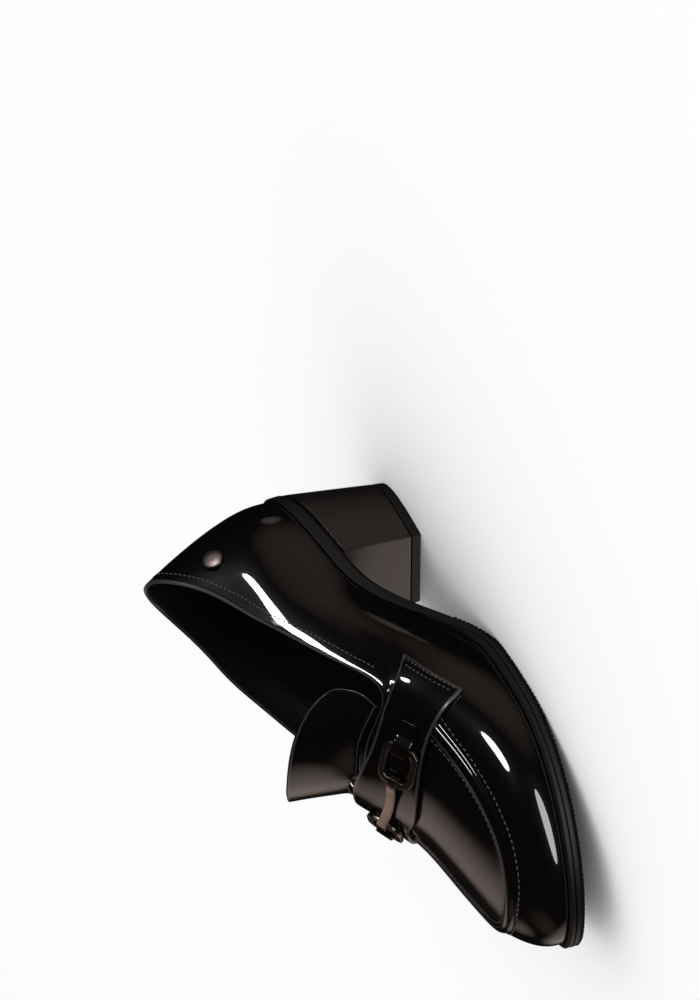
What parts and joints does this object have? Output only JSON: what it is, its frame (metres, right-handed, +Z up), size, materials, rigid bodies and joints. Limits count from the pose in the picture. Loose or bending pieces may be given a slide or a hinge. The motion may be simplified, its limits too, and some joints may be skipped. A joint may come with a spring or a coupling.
{
  "type": "loafer pump",
  "caption": "Black patent loafer pump on a block heel, with a moccasin seam, a tongue, and a strap that carries a metal bit.",
  "frame": {"origin": "middle of the heel's tread, on the floor", "axes": "+Z up, -Y toward the toe, +X toward the outer side of the left foot"},
  "size_m": [0.0891, 0.2425, 0.1156],
  "materials": {
    "patent_leather": "high gloss black patent",
    "sole_rubber": "matte black",
    "heel_cover": "satin black",
    "lining": "matte black",
    "gunmetal": "dark satin metal"
  },
  "bodies": {
    "root": {"outsole": "sole_rubber", "welt": "sole_rubber", "heel_block": "heel_cover", "heel_top_piece": "sole_rubber", "insole": "lining", "upper": "patent_leather", "tongue": "patent_leather", "saddle_strap": "patent_leather", "ring_loop_lateral": "patent_leather", "ring_loop_medial": "patent_leather", "bit_ring_lateral": "gunmetal", "bit_ring_medial": "gunmetal", "bit_bar": "gunmetal", "rivet": "gunmetal"}
  },
  "joints": []
}
